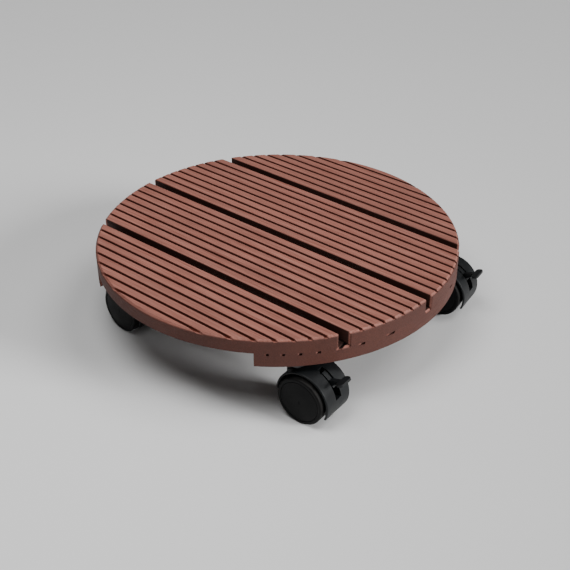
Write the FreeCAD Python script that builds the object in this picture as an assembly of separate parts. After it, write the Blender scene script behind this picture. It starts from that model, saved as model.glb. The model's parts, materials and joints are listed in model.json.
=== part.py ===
import FreeCAD, Part
import math
import os

# Round plant pot caddy: four grooved composite slats on two crosswise boards, carried by four
# twin-wheel swivel casters, the two on the +X board with a brake.
# Frame: millimetres, +Z up, the floor is z = 0 and the disc's axis is the Z axis.
# The slats run along X and the crosswise boards along Y.

Vector = FreeCAD.Vector
UP = Vector(0, 0, 1)
ALONG_Y = Vector(0, 1, 0)
TINY = 0.01
MARGIN = 1.0

# --- driving dimensions: the deck ---
DISC_RADIUS = 150.0
BOARD_WIDTH = 70.0
BOARD_THICKNESS = 12.0
SLAT_GAP = 7.0
SLAT_COUNT = 4
CROSS_BOARD_INNER_EDGE = 82.0
GROOVES_PER_BOARD = 7
GROOVE_PITCH = 8.95
GROOVE_TOP_WIDTH = 2.7
GROOVE_FLOOR_WIDTH = 2.1
GROOVE_DEPTH = 2.0
RIM_CHAMFER = 1.8
UNDERSIDE_CHAMFER = 0.6
LONG_EDGE_RADIUS = 1.0
SLAT_CORNER_RADIUS = 1.5
CROSS_BOARD_CORNER_RADIUS = 0.5

# --- driving dimensions: the casters ---
CASTER_HEIGHT = 49.0
SWIVEL_X = 94.0
SWIVEL_Y = 91.5
TRAIL = 16.0
WHEEL_RADIUS = 20.0
WHEEL_INNER_FACE = 5.3
WHEEL_OUTER_FACE = 17.8
HOOD_RADIUS = 23.5
HOOD_INNER_RADIUS = 22.0
HOOD_HALF_WIDTH = 14.5
HOOD_REAR_ANGLE = -23.0
HOOD_FRONT_ANGLE = 178.0
WEB_HALF_WIDTH = 4.7
PLATE_SIZE = 29.0
PLATE_THICKNESS = 2.0
PLATE_CORNER_RADIUS = 8.0
PLATE_HOLE_SPACING = 19.0
KINGPIN_RADIUS = 3.0
AXLE_RADIUS = 3.0
RUNNING_CLEARANCE = 0.05
SIDE_CLEARANCE = 0.3

# --- heights that follow ---
AXLE_Z = WHEEL_RADIUS
PLATE_Z = CASTER_HEIGHT - PLATE_THICKNESS
CROSS_BOARD_Z = CASTER_HEIGHT
SLAT_Z = CROSS_BOARD_Z + BOARD_THICKNESS
DECK_TOP = SLAT_Z + BOARD_THICKNESS
SLAT_PITCH = BOARD_WIDTH + SLAT_GAP

# Each caster: name, side in X, side in Y, how far it is turned at rest, and if it has a brake.
# At zero turn the wheels trail towards +X.
CASTERS = [
    ("front_right", 1, -1, 3.0, True),
    ("rear_right", 1, 1, 8.0, True),
    ("front_left", -1, -1, -5.0, False),
    ("rear_left", -1, 1, 5.0, False),
]


# --- small helpers ---
def box(x0, x1, y0, y1, z0, z1):
    return Part.makeBox(x1 - x0, y1 - y0, z1 - z0, Vector(x0, y0, z0))


def fuse(first, *others):
    return first.multiFuse(list(others)).removeSplitter()


def polygon_face(points):
    return Part.Face(Part.makePolygon(points + [points[0]]))


def revolve_about_z(profile, x=0.0, y=0.0):
    """Turn a list of (radius, z) points about a vertical line."""
    face = polygon_face([Vector(x + r, y, z) for r, z in profile])
    return face.revolve(Vector(x, y, 0), UP, 360)


def cylinder_y(radius, y0, y1, x=TRAIL, z=AXLE_Z):
    """A cylinder along Y, about the wheel axle unless a centre is given."""
    return Part.makeCylinder(radius, y1 - y0, Vector(x, y0, z), ALONG_Y)


def polar(radius, degrees):
    """A point of the caster's middle plane, from the axle, angles from the rear upwards."""
    angle = math.radians(degrees)
    return Vector(TRAIL + radius * math.cos(angle), 0, AXLE_Z + radius * math.sin(angle))


def ring_sector(r0, r1, a0, a1, half_width):
    """Part of a ring about the axle between two angles, centred on the middle plane."""
    middle = (a0 + a1) / 2
    edges = [
        Part.Arc(polar(r1, a0), polar(r1, middle), polar(r1, a1)).toShape(),
        Part.makeLine(polar(r1, a1), polar(r0, a1)),
        Part.Arc(polar(r0, a1), polar(r0, middle), polar(r0, a0)).toShape(),
        Part.makeLine(polar(r0, a0), polar(r1, a0)),
    ]
    face = Part.Face(Part.Wire(edges))
    face.translate(Vector(0, -half_width, 0))
    return face.extrude(Vector(0, 2 * half_width, 0))


def edges_where(shape, test):
    return [edge for edge in shape.Edges if test(edge)]


def is_vertical(edge):
    return edge.BoundBox.XLength < TINY and edge.BoundBox.YLength < TINY


def without_repeats(profile):
    """The profile's points, with a point that only repeats the one before it left out."""
    return [point for i, point in enumerate(profile) if point != profile[i - 1]]


# --- the deck ---
def disc_blank(z0, top_chamfer, bottom_chamfer):
    """The round outline that the boards are cut to, one board thick."""
    z1 = z0 + BOARD_THICKNESS
    profile = [
        (0, z0),
        (DISC_RADIUS - bottom_chamfer, z0),
        (DISC_RADIUS, z0 + bottom_chamfer),
        (DISC_RADIUS, z1 - top_chamfer),
        (DISC_RADIUS - top_chamfer, z1),
        (0, z1),
    ]
    return revolve_about_z(without_repeats(profile))


def groove_along_x(y, z_top):
    top = GROOVE_TOP_WIDTH / 2
    floor = GROOVE_FLOOR_WIDTH / 2
    z0 = z_top - GROOVE_DEPTH
    start = -DISC_RADIUS - MARGIN
    points = [
        Vector(start, y - floor, z0),
        Vector(start, y + floor, z0),
        Vector(start, y + top, z_top),
        Vector(start, y + top, z_top + MARGIN),
        Vector(start, y - top, z_top + MARGIN),
        Vector(start, y - top, z_top),
    ]
    return polygon_face(points).extrude(Vector(-2 * start, 0, 0))


def grooved_board(y_middle, z0):
    """A straight board along X: rounded long edges, and grooves in its top."""
    z1 = z0 + BOARD_THICKNESS
    y0 = y_middle - BOARD_WIDTH / 2
    length = DISC_RADIUS + MARGIN
    board = box(-length, length, y0, y0 + BOARD_WIDTH, z0, z1)
    long_edges = edges_where(board, lambda e: e.BoundBox.XLength > length)
    board = board.makeFillet(LONG_EDGE_RADIUS, long_edges)
    half = GROOVES_PER_BOARD // 2
    for k in range(-half, half + 1):
        board = board.cut(groove_along_x(y_middle + k * GROOVE_PITCH, z1))
    return board


def cut_to_disc(board, y_middle, z0, top_chamfer, bottom_chamfer, corner_radius):
    """Cut a board along X to the disc, with its corners eased."""
    z1 = z0 + BOARD_THICKNESS
    y0 = y_middle - BOARD_WIDTH / 2
    reach = DISC_RADIUS + MARGIN
    outline = box(-reach, reach, y0, y0 + BOARD_WIDTH, z0, z1)
    outline = outline.common(Part.makeCylinder(DISC_RADIUS, BOARD_THICKNESS, Vector(0, 0, z0)))
    outline = outline.makeFillet(corner_radius, edges_where(outline, is_vertical))
    return board.common(outline).common(disc_blank(z0, top_chamfer, bottom_chamfer))


def slat(number):
    y_middle = (number - (SLAT_COUNT + 1) / 2) * SLAT_PITCH
    board = grooved_board(y_middle, SLAT_Z)
    return cut_to_disc(board, y_middle, SLAT_Z, RIM_CHAMFER, 0.0, SLAT_CORNER_RADIUS)


def gap_rim_cutter(y_gap):
    """Eases the crosswise boards' rim where a gap between slats leaves it open."""
    half = SLAT_GAP / 2
    blank = disc_blank(CROSS_BOARD_Z, RIM_CHAMFER, 0.0)
    reach = DISC_RADIUS + MARGIN
    strip = box(-reach, reach, y_gap - half, y_gap + half, SLAT_Z - RIM_CHAMFER - MARGIN, SLAT_Z)
    return strip.cut(blank)


def cross_board(side):
    """The board that joins the slats and carries two casters; side is +1 or -1 in X."""
    middle = CROSS_BOARD_INNER_EDGE + BOARD_WIDTH / 2
    board = grooved_board(-middle, CROSS_BOARD_Z)
    board = cut_to_disc(
        board, -middle, CROSS_BOARD_Z, 0.0, UNDERSIDE_CHAMFER, CROSS_BOARD_CORNER_RADIUS)
    board.rotate(Vector(0, 0, 0), UP, 90 * side)
    for k in range(1, SLAT_COUNT):
        board = board.cut(gap_rim_cutter((k - SLAT_COUNT / 2) * SLAT_PITCH))
    return board


# --- wood screws, head down, point up ---
SLAT_SCREW = {"head": 3.6, "shank": 1.8, "cone": 1.9, "flange": 0.0, "length": 20.0}
PLATE_SCREW = {"head": 3.2, "shank": 1.6, "cone": 0.9, "flange": 1.1, "length": 14.0}
SCREW_POINT_SHARE = 1.5
RECESS_WIDTH = 0.9
RECESS_DEPTH = 1.2
RECESS_SHARE = 0.62
PLATE_SCREW_Z = PLATE_Z - PLATE_SCREW["flange"]
OUTER_SLAT_SCREWS = [(88.0, 114.0), (116.5, 86.0)]
INNER_SLAT_SCREW_X = (97.0, 132.0)


def screw_body(kind, x, y, z):
    tip = SCREW_POINT_SHARE * kind["shank"]
    flange = kind["flange"]
    profile = [
        (0, 0),
        (kind["head"], 0),
        (kind["head"], flange),
        (kind["shank"], flange + kind["cone"]),
        (kind["shank"], kind["length"] - tip),
        (0, kind["length"]),
    ]
    solid = revolve_about_z(without_repeats(profile))
    solid.translate(Vector(x, y, z))
    return solid


def screw(kind, x, y, z):
    """The screw with the cross recess in its head."""
    solid = screw_body(kind, x, y, z)
    reach = kind["head"] * RECESS_SHARE
    half = RECESS_WIDTH / 2
    across = box(x - reach, x + reach, y - half, y + half, z - MARGIN, z + RECESS_DEPTH)
    along = box(x - half, x + half, y - reach, y + reach, z - MARGIN, z + RECESS_DEPTH)
    return solid.cut(across.fuse(along))


def slat_screw_places():
    """Two screws through each crosswise board into each slat, clear of the caster plates."""
    one_quarter = [(x, SLAT_PITCH / 2) for x in INNER_SLAT_SCREW_X] + OUTER_SLAT_SCREWS
    signs = [(1, 1), (1, -1), (-1, 1), (-1, -1)]
    return [(sx * x, sy * y) for sx, sy in signs for x, y in one_quarter]


def plate_screw_places(x, y):
    half = PLATE_HOLE_SPACING / 2
    return [(x + i * half, y + j * half) for i in (-1, 1) for j in (-1, 1)]


def all_screw_bodies():
    """Every screw as a plain solid, for cutting its hole."""
    bodies = [screw_body(SLAT_SCREW, x, y, CROSS_BOARD_Z) for x, y in slat_screw_places()]
    for _, sx, sy, _, _ in CASTERS:
        for x, y in plate_screw_places(sx * SWIVEL_X, sy * SWIVEL_Y):
            bodies.append(screw_body(PLATE_SCREW, x, y, PLATE_SCREW_Z))
    return bodies


# --- caster: the pieces that are fixed to the board, swivel axis on the Z axis ---
FLANGE_RADIUS = 5.0
FLANGE_THICKNESS = 1.5
KINGPIN_FOOT = 25.0
KINGPIN_LEAD_IN = 0.6
KINGPIN_END_SPACE = 0.5
RING_GROOVE_Z = 27.7
RING_GROOVE_HEIGHT = 1.6
RING_GROOVE_RADIUS = 2.4
RING_OUTER_RADIUS = 3.7
RING_OPENING = 2.8
RING_CLEARANCE = 0.2
WASHER_OUTER_RADIUS = 7.0
WASHER_SPACE = 2.2
BOSS_TOP = PLATE_Z - WASHER_SPACE


def mounting_plate():
    half = PLATE_SIZE / 2
    plate = box(-half, half, -half, half, PLATE_Z, CASTER_HEIGHT)
    plate = plate.makeFillet(PLATE_CORNER_RADIUS, edges_where(plate, is_vertical))
    for x, y in plate_screw_places(0, 0):
        plate = plate.cut(screw_body(PLATE_SCREW, x, y, PLATE_SCREW_Z))
    return plate.cut(Part.makeCylinder(KINGPIN_RADIUS, PLATE_THICKNESS, Vector(0, 0, PLATE_Z)))


def kingpin():
    ring_top = RING_GROOVE_Z + RING_GROOVE_HEIGHT
    profile = [
        (0, KINGPIN_FOOT),
        (KINGPIN_RADIUS - KINGPIN_LEAD_IN, KINGPIN_FOOT),
        (KINGPIN_RADIUS, KINGPIN_FOOT + KINGPIN_LEAD_IN),
        (KINGPIN_RADIUS, RING_GROOVE_Z),
        (RING_GROOVE_RADIUS, RING_GROOVE_Z),
        (RING_GROOVE_RADIUS, ring_top),
        (KINGPIN_RADIUS, ring_top),
        (KINGPIN_RADIUS, PLATE_Z - FLANGE_THICKNESS),
        (FLANGE_RADIUS, PLATE_Z - FLANGE_THICKNESS),
        (FLANGE_RADIUS, PLATE_Z),
        (KINGPIN_RADIUS, PLATE_Z),
        (KINGPIN_RADIUS, CASTER_HEIGHT),
        (0, CASTER_HEIGHT),
    ]
    return revolve_about_z(profile)


def grip_ring():
    """The open spring ring that keeps the caster on its kingpin."""
    z0 = RING_GROOVE_Z + RING_CLEARANCE
    height = RING_GROOVE_HEIGHT - 2 * RING_CLEARANCE
    half = RING_OPENING / 2
    ring = Part.makeCylinder(RING_OUTER_RADIUS, height, Vector(0, 0, z0))
    ring = ring.cut(Part.makeCylinder(RING_GROOVE_RADIUS, height, Vector(0, 0, z0)))
    return ring.cut(box(0, RING_OUTER_RADIUS, -half, half, z0, z0 + height))


def thrust_washer():
    z0 = BOSS_TOP + SIDE_CLEARANCE
    washer = Part.makeCylinder(WASHER_OUTER_RADIUS, PLATE_Z - z0, Vector(0, 0, z0))
    bore_radius = FLANGE_RADIUS + SIDE_CLEARANCE
    return washer.cut(Part.makeCylinder(bore_radius, PLATE_Z - z0, Vector(0, 0, z0)))


# --- caster: the pieces that swivel ---
BOSS_RADIUS = 6.5
BOSS_FLARE = 0.7
COLLAR_HEIGHT = 4.0
COLLAR_EDGE_HEIGHT = 1.5
BOSS_FOOT = 17.0
BOSS_FOOT_CHAMFER = 2.0
HOOD_EDGE_RADIUS = 1.0
AXLE_BOSS_RADIUS = 8.5
AXLE_HALF_LENGTH = 15.2
AXLE_CHAMFER = 0.5
HUB_END = 13.0
HUB_RADIUS = 6.0
CLIP_RADIUS = 5.4
CLIP_THICKNESS = 1.0
BRAKE_PIN_RADIUS = 1.3
BRAKE_PIN_PLACE = (17.0, 60.0)
SLOT_HALF_WIDTH = 3.4
SLOT_ANGLES = (8.0, 70.0)
SLOT_FLOOR_RADIUS = 14.5
EAR_ANGLE = 53.0
FORK_HALF_WIDTH = 2.7
FORK_FLOOR_RADIUS = 12.5
FORK_ANGLES = (52.0, 76.0)
SHOE_SPACE_RADIUS = 19.4
SHOE_SPACE_ANGLES = (33.0, 54.0)


def hood_shell():
    shell = ring_sector(
        HOOD_INNER_RADIUS, HOOD_RADIUS, HOOD_REAR_ANGLE, HOOD_FRONT_ANGLE, HOOD_HALF_WIDTH)
    outer_arcs = edges_where(
        shell, lambda e: abs(getattr(e.Curve, "Radius", 0) - HOOD_RADIUS) < TINY)
    return shell.makeFillet(HOOD_EDGE_RADIUS, outer_arcs)


def centre_web():
    sector = ring_sector(
        TINY, (HOOD_INNER_RADIUS + HOOD_RADIUS) / 2, HOOD_REAR_ANGLE, HOOD_FRONT_ANGLE, WEB_HALF_WIDTH)
    boss = cylinder_y(AXLE_BOSS_RADIUS, -WEB_HALF_WIDTH, WEB_HALF_WIDTH)
    return sector.fuse(boss)


def swivel_boss():
    """The turret that takes the kingpin, hollowed below so that it clears the wheels."""
    profile = [
        (0, BOSS_FOOT),
        (BOSS_RADIUS - BOSS_FOOT_CHAMFER, BOSS_FOOT),
        (BOSS_RADIUS, BOSS_FOOT + BOSS_FOOT_CHAMFER),
        (BOSS_RADIUS, BOSS_TOP - COLLAR_HEIGHT),
        (BOSS_RADIUS + BOSS_FLARE, BOSS_TOP - COLLAR_EDGE_HEIGHT),
        (BOSS_RADIUS + BOSS_FLARE, BOSS_TOP),
        (0, BOSS_TOP),
    ]
    boss = revolve_about_z(profile)
    for side in (-1, 1):
        y0, y1 = sorted((side * WEB_HALF_WIDTH, side * 2 * HOOD_HALF_WIDTH))
        boss = boss.cut(cylinder_y(HOOD_INNER_RADIUS, y0, y1))
    return boss


def brake_opening():
    """The slot for the lever, the fork that its pin goes through, and room for the brake shoe."""
    a0, a1 = SLOT_ANGLES
    outside = HOOD_RADIUS + MARGIN
    slot = ring_sector(SLOT_FLOOR_RADIUS, outside, a0, EAR_ANGLE, SLOT_HALF_WIDTH)
    over_ears = ring_sector(HOOD_INNER_RADIUS, outside, a0, a1, SLOT_HALF_WIDTH)
    fork = ring_sector(FORK_FLOOR_RADIUS, outside, *FORK_ANGLES, FORK_HALF_WIDTH)
    shoe_space = ring_sector(
        SHOE_SPACE_RADIUS, HOOD_INNER_RADIUS, *SHOE_SPACE_ANGLES, WEB_HALF_WIDTH)
    return slot.fuse(over_ears).fuse(fork).fuse(shoe_space)


def caster_housing(braked):
    housing = fuse(hood_shell(), centre_web(), swivel_boss())
    bore_foot = Vector(0, 0, KINGPIN_FOOT - KINGPIN_END_SPACE)
    bore = Part.makeCylinder(KINGPIN_RADIUS + RUNNING_CLEARANCE, CASTER_HEIGHT, bore_foot)
    ring_foot = Vector(0, 0, RING_GROOVE_Z - RING_CLEARANCE)
    ring_height = RING_GROOVE_HEIGHT + 2 * RING_CLEARANCE
    ring_space = Part.makeCylinder(RING_OUTER_RADIUS + 2 * RING_CLEARANCE, ring_height, ring_foot)
    housing = housing.cut(bore).cut(ring_space)
    housing = housing.cut(cylinder_y(AXLE_RADIUS, -WEB_HALF_WIDTH, WEB_HALF_WIDTH))
    if braked:
        housing = housing.cut(brake_opening())
        housing = housing.cut(brake_pin())
    return housing


def axle():
    rod = cylinder_y(AXLE_RADIUS, -AXLE_HALF_LENGTH, AXLE_HALF_LENGTH)
    ends = edges_where(rod, lambda e: e.BoundBox.YLength < TINY)
    return rod.makeChamfer(AXLE_CHAMFER, ends)


def axle_clips():
    """A push-on clip at each end of the axle, which keeps the wheel on."""
    clips = []
    inner = HUB_END + SIDE_CLEARANCE
    for side in (-1, 1):
        y0, y1 = sorted((side * inner, side * (inner + CLIP_THICKNESS)))
        clips.append(cylinder_y(CLIP_RADIUS, y0, y1).cut(cylinder_y(AXLE_RADIUS, y0, y1)))
    return Part.makeCompound(clips)


# --- caster: the wheels ---
CAP_SEAT = 15.8
CAP_RADIUS = 17.0
CAP_CROWN = 0.9
CAP_DROP = 0.1
CAP_EDGE_HEIGHT = 0.4
CAP_EDGE_WIDTH = 0.5
RIM_INNER_RADIUS = 16.2
SHOULDER = 1.4
CAP_SEAT_CHAMFER = 0.3
WEB_FACES = (7.5, 9.5)
SPOKES = 6
SPOKE_THICKNESS = 1.6
SPOKE_END = 12.5
SPOKE_OVERLAP = 0.5


def revolve_about_axle(edges, side):
    """Turn a closed outline of (y, radius) edges about the axle, on the +Y or -Y side."""
    face = Part.Face(Part.Wire(edges))
    solid = face.revolve(Vector(TRAIL, 0, AXLE_Z), ALONG_Y, 360)
    if side < 0:
        solid = solid.mirror(Vector(TRAIL, 0, AXLE_Z), ALONG_Y)
    return solid


def wheel_point(y, radius):
    return Vector(TRAIL, y, AXLE_Z + radius)


def outline(points):
    """Straight edges through the points; a point of three values is an arc's middle."""
    edges = []
    corners = points + [points[0]]
    i = 0
    while i < len(corners) - 1:
        start = wheel_point(*corners[i][:2])
        if len(corners[i + 1]) == 3:
            middle = wheel_point(*corners[i + 1][:2])
            end = wheel_point(*corners[i + 2][:2])
            edges.append(Part.Arc(start, middle, end).toShape())
            i += 2
        else:
            edges.append(Part.makeLine(start, wheel_point(*corners[i + 1][:2])))
            i += 1
    return edges


def wheel(side):
    bore = AXLE_RADIUS + RUNNING_CLEARANCE
    web_in, web_out = WEB_FACES
    inside = 1.0 - math.sqrt(0.5)
    profile = [
        (WHEEL_INNER_FACE, bore),
        (WHEEL_INNER_FACE, HUB_RADIUS),
        (web_in, HUB_RADIUS),
        (web_in, RIM_INNER_RADIUS),
        (WHEEL_INNER_FACE, RIM_INNER_RADIUS),
        (WHEEL_INNER_FACE, WHEEL_RADIUS - SHOULDER),
        (WHEEL_INNER_FACE + SHOULDER * inside, WHEEL_RADIUS - SHOULDER * inside, "arc"),
        (WHEEL_INNER_FACE + SHOULDER, WHEEL_RADIUS),
        (WHEEL_OUTER_FACE - SHOULDER, WHEEL_RADIUS),
        (WHEEL_OUTER_FACE - SHOULDER * inside, WHEEL_RADIUS - SHOULDER * inside, "arc"),
        (WHEEL_OUTER_FACE, WHEEL_RADIUS - SHOULDER),
        (WHEEL_OUTER_FACE, CAP_RADIUS + CAP_SEAT_CHAMFER),
        (WHEEL_OUTER_FACE - CAP_SEAT_CHAMFER, CAP_RADIUS),
        (CAP_SEAT, CAP_RADIUS),
        (CAP_SEAT, RIM_INNER_RADIUS),
        (web_out, RIM_INNER_RADIUS),
        (web_out, HUB_RADIUS),
        (HUB_END, HUB_RADIUS),
        (HUB_END, bore),
    ]
    solid = revolve_about_axle(outline(profile), side)
    half = SPOKE_THICKNESS / 2
    y0, y1 = sorted((side * web_in, side * SPOKE_END))
    z0 = AXLE_Z + HUB_RADIUS - SPOKE_OVERLAP
    z1 = AXLE_Z + RIM_INNER_RADIUS + SPOKE_OVERLAP
    for k in range(SPOKES):
        spoke = box(TRAIL - half, TRAIL + half, y0, y1, z0, z1)
        spoke.rotate(Vector(TRAIL, 0, AXLE_Z), ALONG_Y, 360 * k / SPOKES)
        solid = solid.fuse(spoke)
    return solid.removeSplitter()


def wheel_cap(side):
    """The disc that closes the wheel's outer side, its face part of a large sphere."""
    rim_y = WHEEL_OUTER_FACE - CAP_DROP
    edge_y = rim_y - CAP_EDGE_HEIGHT
    dome_radius = CAP_RADIUS - CAP_EDGE_WIDTH
    sphere_radius = (dome_radius ** 2 + CAP_CROWN ** 2) / (2 * CAP_CROWN)
    sphere_y = rim_y + CAP_CROWN - sphere_radius
    half_way = dome_radius / 2
    profile = [
        (CAP_SEAT, 0),
        (CAP_SEAT, CAP_RADIUS),
        (edge_y, CAP_RADIUS),
        (rim_y, dome_radius),
        (sphere_y + math.sqrt(sphere_radius ** 2 - half_way ** 2), half_way, "arc"),
        (rim_y + CAP_CROWN, 0),
    ]
    return revolve_about_axle(outline(profile), side)


# --- caster: the brake ---
LEVER_HALF_WIDTH = 1.9
LEVER_DROP = 0.3
PAD_RADII = (18.6, HOOD_RADIUS - LEVER_DROP)
PAD_ANGLES = (32.5, 50.0)
COVER_RADII = (HOOD_INNER_RADIUS + LEVER_DROP, HOOD_RADIUS - LEVER_DROP)
COVER_ANGLES = (49.0, 67.0)
TONGUE_RADII = (16.4, 22.8)
TONGUE_ANGLES = (45.0, 62.0)
KNUCKLE_RADIUS = 2.9
KNUCKLE_HALF_WIDTH = 2.4
SHOE_RADII = (20.95, 21.65)
SHOE_ANGLES = (42.0, 50.0)
SHOE_HALF_WIDTH = 10.5
STEM_ROOT_RADIUS = 22.0
STEM_ROOT_ANGLES = (37.0, 50.0)
TAB_TIP_PLACE = (36.7, 35.5)
TAB_SLOPE = 19.0
TAB_LENGTH = 5.8
TAB_HALF_WIDTH = 6.75
TAB_THICKNESS = 2.4
TAB_TIP_THICKNESS = 1.8
TAB_CORNER_RADIUS = 2.4


def prism(points, half_width):
    """A solid from an outline in the caster's middle plane, the same to both sides."""
    face = polygon_face(points)
    face.translate(Vector(0, -half_width, 0))
    return face.extrude(Vector(0, 2 * half_width, 0))


def brake_tab():
    """The toe tab: a wide short plate outside the hood, on a stem that comes out of the slot."""
    slope = math.radians(TAB_SLOPE)
    outwards = Vector(math.cos(slope), 0, math.sin(slope))
    upwards = Vector(-outwards.z, 0, outwards.x)
    tip = polar(*TAB_TIP_PLACE)
    root = tip - outwards * TAB_LENGTH
    tab = prism(
        [
            root - upwards * (TAB_THICKNESS / 2),
            tip - upwards * (TAB_TIP_THICKNESS / 2),
            tip + upwards * (TAB_TIP_THICKNESS / 2),
            root + upwards * (TAB_THICKNESS / 2),
        ],
        TAB_HALF_WIDTH,
    )
    corners = edges_where(tab, lambda e: e.BoundBox.YLength < TINY and e.Length < TAB_LENGTH / 2)
    tab = tab.makeFillet(TAB_CORNER_RADIUS, corners)
    inside_tab = root + outwards * MARGIN
    low_angle, high_angle = STEM_ROOT_ANGLES
    stem = prism(
        [
            polar(STEM_ROOT_RADIUS, low_angle),
            inside_tab - upwards * (TAB_TIP_THICKNESS / 2),
            inside_tab + upwards * (TAB_TIP_THICKNESS / 2),
            polar(STEM_ROOT_RADIUS, high_angle),
        ],
        LEVER_HALF_WIDTH,
    )
    return tab.fuse(stem)


def brake_lever():
    """Pad, toe tab, the tongue to its pin, and the thin shoe that reaches over both treads."""
    pin = polar(*BRAKE_PIN_PLACE)
    pad = ring_sector(*PAD_RADII, *PAD_ANGLES, LEVER_HALF_WIDTH)
    cover = ring_sector(*COVER_RADII, *COVER_ANGLES, LEVER_HALF_WIDTH)
    tongue = ring_sector(*TONGUE_RADII, *TONGUE_ANGLES, LEVER_HALF_WIDTH)
    knuckle = cylinder_y(KNUCKLE_RADIUS, -KNUCKLE_HALF_WIDTH, KNUCKLE_HALF_WIDTH, pin.x, pin.z)
    shoe = ring_sector(*SHOE_RADII, *SHOE_ANGLES, SHOE_HALF_WIDTH)
    lever = fuse(pad, cover, tongue, knuckle, shoe, brake_tab())
    bore_radius = BRAKE_PIN_RADIUS + RUNNING_CLEARANCE
    bore = cylinder_y(bore_radius, -KNUCKLE_HALF_WIDTH, KNUCKLE_HALF_WIDTH, pin.x, pin.z)
    return lever.cut(bore)


def brake_pin():
    pin = polar(*BRAKE_PIN_PLACE)
    return cylinder_y(BRAKE_PIN_RADIUS, -WEB_HALF_WIDTH, WEB_HALF_WIDTH, pin.x, pin.z)


# --- put together ---
def placed(shape, x, y, turn):
    moved = shape.copy()
    moved.rotate(Vector(0, 0, 0), UP, turn)
    moved.translate(Vector(x, y, 0))
    return moved


def deck_nodes():
    nodes = {"slat_%d" % n: slat(n) for n in range(1, SLAT_COUNT + 1)}
    nodes["cross_board_right"] = cross_board(1)
    nodes["cross_board_left"] = cross_board(-1)
    holes = all_screw_bodies()
    for name, board in nodes.items():
        bounds = board.BoundBox
        hits = [hole for hole in holes if bounds.intersect(hole.BoundBox)]
        nodes[name] = board.cut(hits)
    screws = [screw(SLAT_SCREW, x, y, CROSS_BOARD_Z) for x, y in slat_screw_places()]
    nodes["slat_screws"] = Part.makeCompound(screws)
    return nodes


def caster_nodes(corner, side_x, side_y, turn, braked):
    """One caster's pieces; the outer wheel is the one further from the X axis."""
    x = side_x * SWIVEL_X
    y = side_y * SWIVEL_Y
    screws = [screw(PLATE_SCREW, i, j, PLATE_SCREW_Z) for i, j in plate_screw_places(x, y)]
    nodes = {
        "mounting_plate": placed(mounting_plate(), x, y, 0),
        "plate_screws": Part.makeCompound(screws),
        "kingpin": placed(kingpin(), x, y, 0),
        "grip_ring": placed(grip_ring(), x, y, 0),
        "thrust_washer": placed(thrust_washer(), x, y, 0),
        "caster_housing": placed(caster_housing(braked), x, y, turn),
        "axle": placed(axle(), x, y, turn),
        "axle_clips": placed(axle_clips(), x, y, turn),
        "outer_wheel": placed(wheel(side_y), x, y, turn),
        "inner_wheel": placed(wheel(-side_y), x, y, turn),
        "outer_wheel_cap": placed(wheel_cap(side_y), x, y, turn),
        "inner_wheel_cap": placed(wheel_cap(-side_y), x, y, turn),
    }
    if braked:
        nodes["brake_lever"] = placed(brake_lever(), x, y, turn)
        nodes["brake_pin"] = placed(brake_pin(), x, y, turn)
    return {corner + "_" + name: shape for name, shape in nodes.items()}


def main():
    os.makedirs("parts", exist_ok=True)
    nodes = deck_nodes()
    for caster in CASTERS:
        nodes.update(caster_nodes(*caster))
    for name, shape in nodes.items():
        if not shape.isValid():
            print("not valid:", name)
        shape.exportStep("parts/%s.step" % name)
    print(len(nodes), "nodes, deck top at", DECK_TOP)


main()
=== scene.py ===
import json
import math

import bpy
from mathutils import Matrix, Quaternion, Vector


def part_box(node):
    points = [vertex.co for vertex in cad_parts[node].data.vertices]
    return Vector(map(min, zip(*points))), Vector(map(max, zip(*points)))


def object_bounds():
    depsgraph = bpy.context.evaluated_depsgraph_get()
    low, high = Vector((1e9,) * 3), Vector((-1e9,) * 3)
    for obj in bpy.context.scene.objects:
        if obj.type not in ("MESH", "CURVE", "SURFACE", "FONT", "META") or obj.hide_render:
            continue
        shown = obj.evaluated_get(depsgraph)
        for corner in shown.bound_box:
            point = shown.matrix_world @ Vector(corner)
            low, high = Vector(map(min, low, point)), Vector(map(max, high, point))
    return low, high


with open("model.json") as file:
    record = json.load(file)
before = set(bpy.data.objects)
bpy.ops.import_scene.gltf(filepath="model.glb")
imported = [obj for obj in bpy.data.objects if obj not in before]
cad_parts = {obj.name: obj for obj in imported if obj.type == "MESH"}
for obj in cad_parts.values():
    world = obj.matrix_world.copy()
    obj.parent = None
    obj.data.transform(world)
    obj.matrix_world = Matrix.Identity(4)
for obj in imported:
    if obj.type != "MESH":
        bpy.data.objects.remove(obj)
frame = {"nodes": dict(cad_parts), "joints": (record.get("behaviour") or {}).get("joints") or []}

# The plant pot caddy's looks: composite boards, black moulded casters, zinc and steel hardware.
# Every length is in metres, in the frame of the CAD model: +Z up, the floor at z = 0.

MM = 0.001
CAD_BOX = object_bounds()
DECK_TOP = CAD_BOX[1][2]
DISC_RADIUS = CAD_BOX[1][0]
SLATS = ["slat_1", "slat_2", "slat_3", "slat_4"]
CROSS_BOARDS = ["cross_board_left", "cross_board_right"]
BRAKED_CORNERS = ["front_right", "rear_right"]
CORNERS = BRAKED_CORNERS + ["front_left", "rear_left"]
JOINTS = {joint["name"]: joint for joint in frame["joints"]}

# --- the camera: the side and height it looks from, and the point it looks at ---
AZIMUTH = math.radians(39.78)
ELEVATION = math.radians(33.37)
ROLL = math.radians(-0.22)
DISTANCE = 860.2 * MM
AIM = Vector((20.97, -15.81, 38.58)) * MM
LENS = 65.45


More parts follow.
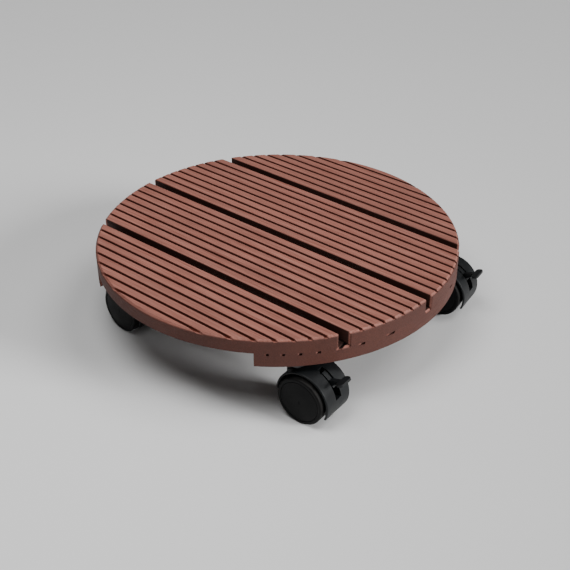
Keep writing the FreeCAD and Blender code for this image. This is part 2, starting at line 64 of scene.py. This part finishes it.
# --- node trees ---
class Material:
    """A material under construction; its methods add nodes and return their output sockets."""

    def __init__(self, name):
        self.material = bpy.data.materials.new(name)
        self.material.use_nodes = True
        self.tree = self.material.node_tree
        self.tree.nodes.clear()
        self.shader = self.tree.nodes.new("ShaderNodeBsdfPrincipled")
        output = self.tree.nodes.new("ShaderNodeOutputMaterial")
        self.tree.links.new(self.shader.outputs[0], output.inputs["Surface"])

    def put(self, socket, value):
        if isinstance(value, bpy.types.NodeSocket):
            self.tree.links.new(value, socket)
        elif socket.type == "RGBA":
            socket.default_value = (*value, 1.0)
        else:
            socket.default_value = value

    def node(self, kind, inputs, **settings):
        """Add a node: settings are its own properties, inputs go to its sockets."""
        node = self.tree.nodes.new("ShaderNode" + kind)
        for name, value in settings.items():
            setattr(node, name, value)
        for key, value in inputs.items():
            self.put(node.inputs[key], value)
        return node

    def finish_with(self, **values):
        """Set or link the shader's own sockets; an underscore stands for a space."""
        for name, value in values.items():
            self.put(self.shader.inputs[name.replace("_", " ")], value)
        return self.material

    def place(self):
        return self.node("TexCoord", {}).outputs["Object"]

    def local(self, origin=(0, 0, 0), turn=0.0):
        """The surface point in a frame with this origin, turned about Z."""
        inputs = {"Vector": self.place(), "Location": origin, "Rotation": (0, 0, turn)}
        return self.node("Mapping", inputs, vector_type="TEXTURE").outputs[0]

    def stretch(self, vector, scale, offset=(0, 0, 0)):
        inputs = {"Vector": vector, "Location": offset, "Scale": scale}
        return self.node("Mapping", inputs, vector_type="POINT").outputs[0]

    def noise(self, vector, scale=1.0, detail=3.0, roughness=0.5):
        inputs = {"Vector": vector, "Scale": scale, "Detail": detail, "Roughness": roughness}
        return self.node("TexNoise", inputs).outputs["Fac"]

    def ramp(self, value, low, high, to_low=0.0, to_high=1.0):
        """A smooth step from to_low, where value is low, to to_high, where it is high."""
        inputs = {0: value, 1: low, 2: high, 3: to_low, 4: to_high}
        return self.node("MapRange", inputs, interpolation_type="SMOOTHSTEP").outputs[0]

    def math(self, operation, *values):
        return self.node("Math", dict(enumerate(values)), operation=operation).outputs[0]

    def times(self, a, b):
        return self.math("MULTIPLY", a, b)

    def plus(self, a, b):
        return self.math("ADD", a, b)

    def part(self, vector, axis):
        return self.node("SeparateXYZ", {0: vector}).outputs[axis]

    def length(self, vector, scale=(1, 1, 1)):
        """The vector's length, with each axis scaled first; a scale of 0 leaves an axis out."""
        scaled = self.node("VectorMath", {0: vector, 1: scale}, operation="MULTIPLY").outputs[0]
        return self.node("VectorMath", {0: scaled}, operation="LENGTH").outputs["Value"]

    def mix(self, share, a, b, blend="MIX"):
        """Blend two colours; sockets 6 and 7 are the colour pair of the Mix node."""
        inputs = {0: share, 6: a, 7: b}
        return self.node("Mix", inputs, data_type="RGBA", blend_type=blend).outputs[2]

    def shade(self, colour, value):
        """Multiply a colour by a value that is 1 where nothing changes."""
        scale = self.node("CombineColor", {0: value, 1: value, 2: value}).outputs[0]
        return self.mix(1.0, colour, scale, "MULTIPLY")

    def edge(self, radius):
        """1 on an edge sharper than the radius can follow, 0 on open faces."""
        soft = self.node("Bevel", {"Radius": radius}, samples=6).outputs[0]
        true = self.node("NewGeometry", {}).outputs["Normal"]
        dot = self.node("VectorMath", {0: soft, 1: true}, operation="DOT_PRODUCT")
        return self.ramp(dot.outputs["Value"], 0.98, 0.86)

    def openness(self, distance):
        """1 on open faces, falling in corners and gaps narrower than the distance."""
        return self.node("AmbientOcclusion", {"Distance": distance}, samples=8).outputs["AO"]

    def relief(self, height, depth, softening=0.0):
        """A normal bent by the height, which runs from 0 to 1 over the depth in metres."""
        inputs = {"Height": height, "Distance": depth, "Strength": 1.0}
        if softening:
            inputs["Normal"] = self.node("Bevel", {"Radius": softening}, samples=6).outputs[0]
        return self.node("Bump", inputs).outputs[0]


# --- the composite boards ---
# Colours are linear RGB.
BRUSHED = (0.250, 0.096, 0.072)
BRUSHED_PALE = (0.330, 0.152, 0.122)
BRUSHED_DEEP = (0.180, 0.054, 0.036)
GROOVE = (0.110, 0.0180, 0.0065)
# The extruded surface on the boards' sides and undersides and on the crosswise boards, darkened
# with painted shade for the gaps they sit in.
SKIN_AND_PAINTED_SHADE = (0.027, 0.0055, 0.0022)
# The sawn rim: darker and duller in itself, and darkened further with painted shade on its upright
# face.
CUT_AND_PAINTED_SHADE = (0.069, 0.0205, 0.0132)
COMPOSITE_SHINE = 0.35

# Where one look turns into the next: depths below the slats' tops, distances from
# a board's middle line and distances in from the rim.
BRUSHED_DEPTHS = (0.65 * MM, 0.20 * MM)
GROOVE_DEPTHS = (3.4 * MM, 2.4 * MM)
GROOVED_HALF_WIDTHS = (33.8 * MM, 33.0 * MM)
CHAMFER_WIDTHS = (2.1 * MM, 1.6 * MM)
RIM_WIDTHS = (0.9 * MM, 0.2 * MM)
GAP_SHADE_REACH = 9 * MM
WORN_EDGE = 0.45 * MM


def composite(name, along_y, middle, seed):
    """Wood-plastic composite: brushed ribs; the extruded surface below them and the sawn rim
    darker, partly by painted shade.
    """
    m = Material(name)
    here = m.place()
    turn = math.pi / 2 if along_y else 0.0
    grain = m.local((seed * 0.37, seed * 0.61, seed * 0.23), turn)

    bands = m.noise(m.stretch(grain, (5, 160, 160)), 1.0, 3.0, 0.55)
    streaks = m.noise(m.stretch(grain, (22, 1300, 1300)), 1.0, 4.0, 0.65)
    hairs = m.noise(m.stretch(grain, (90, 3600, 3600)), 1.0, 2.0, 0.6)
    fibres = m.noise(m.stretch(grain, (520, 2400, 2400)), 1.0, 2.0, 0.6)
    blotches = m.noise(grain, 24.0, 3.0, 0.5)

    brushed = m.mix(m.ramp(streaks, 0.30, 0.52), BRUSHED_DEEP, BRUSHED)
    brushed = m.mix(m.ramp(streaks, 0.52, 0.76), brushed, BRUSHED_PALE)
    brushed = m.shade(brushed, m.ramp(bands, 0.30, 0.70, 0.86, 1.10))
    brushed = m.shade(brushed, m.ramp(hairs, 0.35, 0.65, 0.90, 1.07))
    brushed = m.mix(m.ramp(fibres, 0.66, 0.74, 0.0, 0.55), brushed, BRUSHED_PALE)
    brushed = m.mix(m.ramp(fibres, 0.34, 0.27, 0.0, 0.60), brushed, BRUSHED_DEEP)
    brushed = m.shade(brushed, m.ramp(blotches, 0.30, 0.70, 0.93, 1.05))

    depth = m.math("SUBTRACT", DECK_TOP, m.part(here, 2))
    from_middle = m.math("ABSOLUTE", m.plus(m.part(here, 1), -middle))
    in_groove = m.times(m.ramp(depth, *GROOVE_DEPTHS), m.ramp(from_middle, *GROOVED_HALF_WIDTHS))
    # Groove floors keep the groove colour; deeper down and on the boards' sides the colour turns to
    # painted shade.
    skin_and_painted_shade = m.mix(in_groove, SKIN_AND_PAINTED_SHADE, GROOVE)
    skin_and_painted_shade = m.shade(skin_and_painted_shade, m.ramp(streaks, 0.30, 0.70, 0.75, 1.30))
    cut_grain = m.noise(here, 1500.0, 3.0, 0.6)
    cut_and_painted_shade = m.shade(CUT_AND_PAINTED_SHADE, m.ramp(cut_grain, 0.30, 0.70, 0.72, 1.30))
    cut_and_painted_shade = m.shade(cut_and_painted_shade, m.ramp(blotches, 0.30, 0.70, 0.90, 1.08))

    on_top = m.ramp(depth, *BRUSHED_DEPTHS)
    from_rim = m.math("SUBTRACT", DISC_RADIUS, m.length(here, (1, 1, 0)))
    on_chamfer = m.ramp(from_rim, *CHAMFER_WIDTHS)
    on_rim = m.ramp(from_rim, *RIM_WIDTHS)
    colour = m.mix(on_top, skin_and_painted_shade, brushed)
    colour = m.mix(on_chamfer, colour, brushed)
    # The rim takes the sawn colour, with its painted shade.
    colour = m.mix(on_rim, colour, cut_and_painted_shade)
    # Painted shade: the colour darkens in the gaps, grooves and corners that the AO node finds
    # closed in.
    colour = m.shade(colour, m.ramp(m.openness(GAP_SHADE_REACH), 0.20, 0.75, 0.30, 1.0))
    worn = m.times(m.edge(WORN_EDGE), m.ramp(fibres, 0.30, 0.60, 0.15, 0.55))
    colour = m.mix(m.times(worn, on_top), colour, BRUSHED_PALE)

    roughness = m.ramp(streaks, 0.30, 0.70, 0.78, 0.60)
    roughness = m.plus(roughness, m.times(on_top, 0.04))
    relief = m.plus(m.times(streaks, 0.6), m.times(fibres, 0.4))
    normal = m.relief(relief, 0.10 * MM, 0.25 * MM)
    return m.finish_with(
        Base_Color=colour,
        Roughness=roughness,
        Normal=normal,
        Specular_IOR_Level=COMPOSITE_SHINE,
    )


def paint(node, material):
    """Put one material in every slot of a CAD node."""
    mesh = frame["nodes"][node].data
    if not mesh.materials:
        mesh.materials.append(material)
    for i in range(len(mesh.materials)):
        mesh.materials[i] = material


def paint_boards():
    """Each board has its own grain; a crosswise board's runs along Y."""
    for number, node in enumerate(SLATS + CROSS_BOARDS):
        low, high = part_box(node)
        middle = (low[1] + high[1]) / 2
        paint(node, composite("composite_" + node, node in CROSS_BOARDS, middle, number + 1))


# --- black moulded plastics ---
HOOD_BLACK = (0.0062, 0.0070, 0.0076)
CAP_BLACK = (0.0030, 0.0030, 0.0031)
WORN_BLACK = (0.019, 0.019, 0.020)
WHEEL_BLACK = (0.0034, 0.0034, 0.0035)
DUST = (0.014, 0.013, 0.012)
NYLON_BLACK = (0.020, 0.020, 0.021)
WHEEL_SHINE = 0.10
TREAD_RADII = (19.2 * MM, 19.8 * MM)


def moulded(name, colour, roughness, shine, grain_size, grain_depth):
    """Dark plastic with a fine spark-eroded grain, slightly polished and greyed along edges."""
    m = Material(name)
    here = m.place()
    grain = m.noise(here, 1.0 / grain_size, 2.0, 0.6)
    clouds = m.noise(here, 90.0, 4.0, 0.6)
    scuffs = m.noise(m.stretch(here, (400, 90, 900)), 1.0, 3.0, 0.6)
    worn = m.times(m.edge(0.5 * MM), m.ramp(clouds, 0.35, 0.65, 0.2, 0.9))
    base = m.shade(colour, m.ramp(clouds, 0.30, 0.70, 0.82, 1.20))
    base = m.mix(worn, base, WORN_BLACK)
    gloss = m.ramp(clouds, 0.30, 0.70, roughness - 0.05, roughness + 0.07)
    gloss = m.plus(gloss, m.ramp(scuffs, 0.60, 0.72, 0.0, 0.10))
    gloss = m.plus(gloss, m.times(worn, -0.08))
    normal = m.relief(grain, grain_depth, 0.35 * MM)
    return m.finish_with(Base_Color=base, Roughness=gloss, Normal=normal, Specular_IOR_Level=shine)


def wheel_plastic(name, centre, turn):
    """Hard wheel plastic: a fine grain on the faces, dust and turning lines round the tread."""
    m = Material(name)
    here = m.local(centre, turn)
    radius = m.length(here, (1, 0, 1))
    fine = m.noise(here, 3000.0, 2.0, 0.6)
    clouds = m.noise(here, 120.0, 4.0, 0.6)
    lines = m.noise(m.stretch(here, (60, 2600, 60)), 1.0, 3.0, 0.6)
    on_tread = m.ramp(radius, *TREAD_RADII)
    dust = m.times(on_tread, m.ramp(clouds, 0.38, 0.66, 0.10, 0.65))
    worn = m.times(m.edge(0.4 * MM), m.ramp(clouds, 0.35, 0.65, 0.1, 0.7))
    base = m.shade(WHEEL_BLACK, m.ramp(clouds, 0.3, 0.7, 0.85, 1.2))
    base = m.mix(dust, base, DUST)
    base = m.mix(worn, base, DUST)
    rough = m.ramp(clouds, 0.30, 0.70, 0.40, 0.50)
    rough = m.plus(rough, m.times(dust, 0.25))
    relief = m.mix(on_tread, fine, lines)
    normal = m.relief(relief, 0.03 * MM, 0.3 * MM)
    return m.finish_with(
        Base_Color=base, Roughness=rough, Normal=normal, Specular_IOR_Level=WHEEL_SHINE)


# --- metals: a plated or bare metal is a colour and the colour of its stains ---
ZINC = ((0.62, 0.62, 0.60), (0.40, 0.39, 0.36))
BLACK_ZINC = ((0.045, 0.045, 0.048), (0.020, 0.020, 0.020))
STEEL = ((0.56, 0.55, 0.54), (0.34, 0.32, 0.30))
PLATE_PAINT = (0.016, 0.016, 0.017)
BARE_STEEL = (0.42, 0.42, 0.43)


def plated(name, colour, stain, roughness):
    """Plated or bare steel: soft spangle, fine scratches and stains."""
    m = Material(name)
    here = m.place()
    spangle = m.node("TexVoronoi", {"Vector": here, "Scale": 900.0}).outputs["Color"]
    clouds = m.noise(here, 260.0, 4.0, 0.6)
    scratches = m.noise(m.stretch(here, (300, 4000, 300)), 1.0, 3.0, 0.6)
    base = m.mix(m.ramp(clouds, 0.40, 0.75, 0.0, 0.8), colour, stain)
    base = m.shade(base, m.ramp(m.part(spangle, 0), 0.0, 1.0, 0.92, 1.04))
    rough = m.ramp(clouds, 0.30, 0.70, roughness - 0.06, roughness + 0.12)
    normal = m.relief(scratches, 0.02 * MM, 0.2 * MM)
    return m.finish_with(Base_Color=base, Roughness=rough, Normal=normal, Metallic=1.0)


def painted_plate():
    """Black stoved paint on the pressed plate, chipped to steel along its edges."""
    m = Material("painted_plate")
    here = m.place()
    orange_peel = m.noise(here, 700.0, 2.0, 0.5)
    chips = m.noise(here, 420.0, 4.0, 0.7)
    bare = m.times(m.edge(0.3 * MM), m.ramp(chips, 0.54, 0.60))
    base = m.shade(PLATE_PAINT, m.ramp(chips, 0.30, 0.70, 0.8, 1.2))
    base = m.mix(bare, base, BARE_STEEL)
    rough = m.ramp(chips, 0.30, 0.70, 0.34, 0.46)
    normal = m.relief(orange_peel, 0.03 * MM, 0.2 * MM)
    return m.finish_with(Base_Color=base, Roughness=rough, Normal=normal, Metallic=bare)


def nylon(name, colour):
    """Plain nylon, slightly cloudy, with a very fine grain."""
    m = Material(name)
    here = m.place()
    clouds = m.noise(here, 300.0, 3.0, 0.6)
    fine = m.noise(here, 2600.0, 2.0, 0.6)
    base = m.shade(colour, m.ramp(clouds, 0.30, 0.70, 0.88, 1.05))
    rough = m.ramp(clouds, 0.30, 0.70, 0.42, 0.55)
    return m.finish_with(
        Base_Color=base, Roughness=rough, Normal=m.relief(fine, 0.02 * MM, 0.2 * MM))


def wheel_place(corner, side):
    """The wheel's centre and the turn about Z of its axle, from the CAD."""
    low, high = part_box(corner + "_" + side + "_wheel")
    axis = JOINTS[corner + "_" + side + "_wheel_spin"]["axis"]
    turn = math.atan2(-axis[0], axis[1])
    return tuple((low + high) / 2), turn


def paint_casters():
    """The plastics and metals of the casters, and the deck's screws."""
    hood = moulded("hood_plastic", HOOD_BLACK, 0.42, 0.18, 0.55 * MM, 0.04 * MM)
    cap = moulded("cap_plastic", CAP_BLACK, 0.46, 0.10, 0.50 * MM, 0.03 * MM)
    lever = moulded("lever_plastic", HOOD_BLACK, 0.40, 0.22, 0.50 * MM, 0.03 * MM)
    zinc = plated("zinc_plated", *ZINC, 0.34)
    steel = plated("bright_steel", *STEEL, 0.26)
    plate = painted_plate()
    black_zinc = plated("black_zinc", *BLACK_ZINC, 0.38)
    washer = nylon("washer_nylon", NYLON_BLACK)
    paint("slat_screws", zinc)
    for corner in CORNERS:
        looks = {
            "mounting_plate": plate,
            "plate_screws": black_zinc,
            "kingpin": steel,
            "grip_ring": steel,
            "thrust_washer": washer,
            "caster_housing": hood,
            "axle": steel,
            "axle_clips": steel,
            "outer_wheel_cap": cap,
            "inner_wheel_cap": cap,
        }
        for part, material in looks.items():
            paint(corner + "_" + part, material)
        for side in ("outer", "inner"):
            centre, turn = wheel_place(corner, side)
            name = corner + "_" + side + "_wheel"
            paint(name, wheel_plastic("plastic_" + name, centre, turn))
        if corner in BRAKED_CORNERS:
            paint(corner + "_brake_lever", lever)
            paint(corner + "_brake_pin", steel)


# --- the studio ---
FLOOR_GREY = (0.66, 0.66, 0.66)
FLOOR_REACH = 12.0
WORLD_WHITE = (1.0, 1.0, 1.0, 1.0)
WORLD_STRENGTH = 0.12

# Far lights: name, the place they shine from, width in degrees, strength in watts per square metre.
FAR_LIGHTS = [
    ("key", (0.70, 0.60, 1.35), 27.0, 1.13),
    ("side", (2.40, 0.80, 0.95), 19.0, 4.14),
]
# Near lights: name, place, diameter, power in watts.
NEAR_LIGHTS = [("top", (0.02, -0.30, 0.85), 0.5, 5.3)]


def make_camera():
    """Place the camera on the line back from the point it looks at."""
    back = Vector((
        math.sin(AZIMUTH) * math.cos(ELEVATION),
        -math.cos(AZIMUTH) * math.cos(ELEVATION),
        math.sin(ELEVATION),
    ))
    data = bpy.data.cameras.new("camera")
    data.lens = LENS
    data.clip_start = 0.01
    camera = bpy.data.objects.new("camera", data)
    camera.location = AIM + back * DISTANCE
    turn = back.to_track_quat("Z", "Y") @ Quaternion((0, 0, 1), ROLL)
    camera.rotation_euler = turn.to_euler()
    bpy.context.scene.collection.objects.link(camera)
    bpy.context.scene.camera = camera


def hang_light(data, place):
    """Put a light at a place, turned to the caddy."""
    light = bpy.data.objects.new(data.name, data)
    light.location = place
    light.rotation_euler = Vector(place).to_track_quat("Z", "Y").to_euler()
    bpy.context.scene.collection.objects.link(light)


def far_light(name, place, width, strength):
    """A soft light so far away that it falls evenly; its width is an angle in degrees."""
    data = bpy.data.lights.new(name, "SUN")
    data.angle = math.radians(width)
    data.energy = strength
    hang_light(data, place)


def near_light(name, place, size, power):
    """A round soft light above the caddy, which fades with the distance."""
    data = bpy.data.lights.new(name, "AREA")
    data.shape = "DISK"
    data.size = size
    data.energy = power
    hang_light(data, place)


def make_studio():
    """A pale floor, an even sky and the lights."""
    m = Material("studio_floor")
    tone = m.noise(m.place(), 1.2, 2.0, 0.5)
    colour = m.shade(FLOOR_GREY, m.ramp(tone, 0.3, 0.7, 0.99, 1.01))
    m.finish_with(Base_Color=colour, Roughness=0.9, Specular_IOR_Level=0.1)
    reach = FLOOR_REACH
    mesh = bpy.data.meshes.new("studio_floor")
    corners = [(-reach, -reach, 0), (reach, -reach, 0), (reach, reach, 0), (-reach, reach, 0)]
    mesh.from_pydata(corners, [], [(0, 1, 2, 3)])
    mesh.materials.append(m.material)
    floor = bpy.data.objects.new("studio_floor", mesh)
    bpy.context.scene.collection.objects.link(floor)

    world = bpy.data.worlds.new("studio")
    world.use_nodes = True
    background = world.node_tree.nodes["Background"]
    background.inputs["Color"].default_value = WORLD_WHITE
    background.inputs["Strength"].default_value = WORLD_STRENGTH
    bpy.context.scene.world = world
    for light in FAR_LIGHTS:
        far_light(*light)
    for light in NEAR_LIGHTS:
        near_light(*light)


make_camera()
paint_boards()
paint_casters()
make_studio()
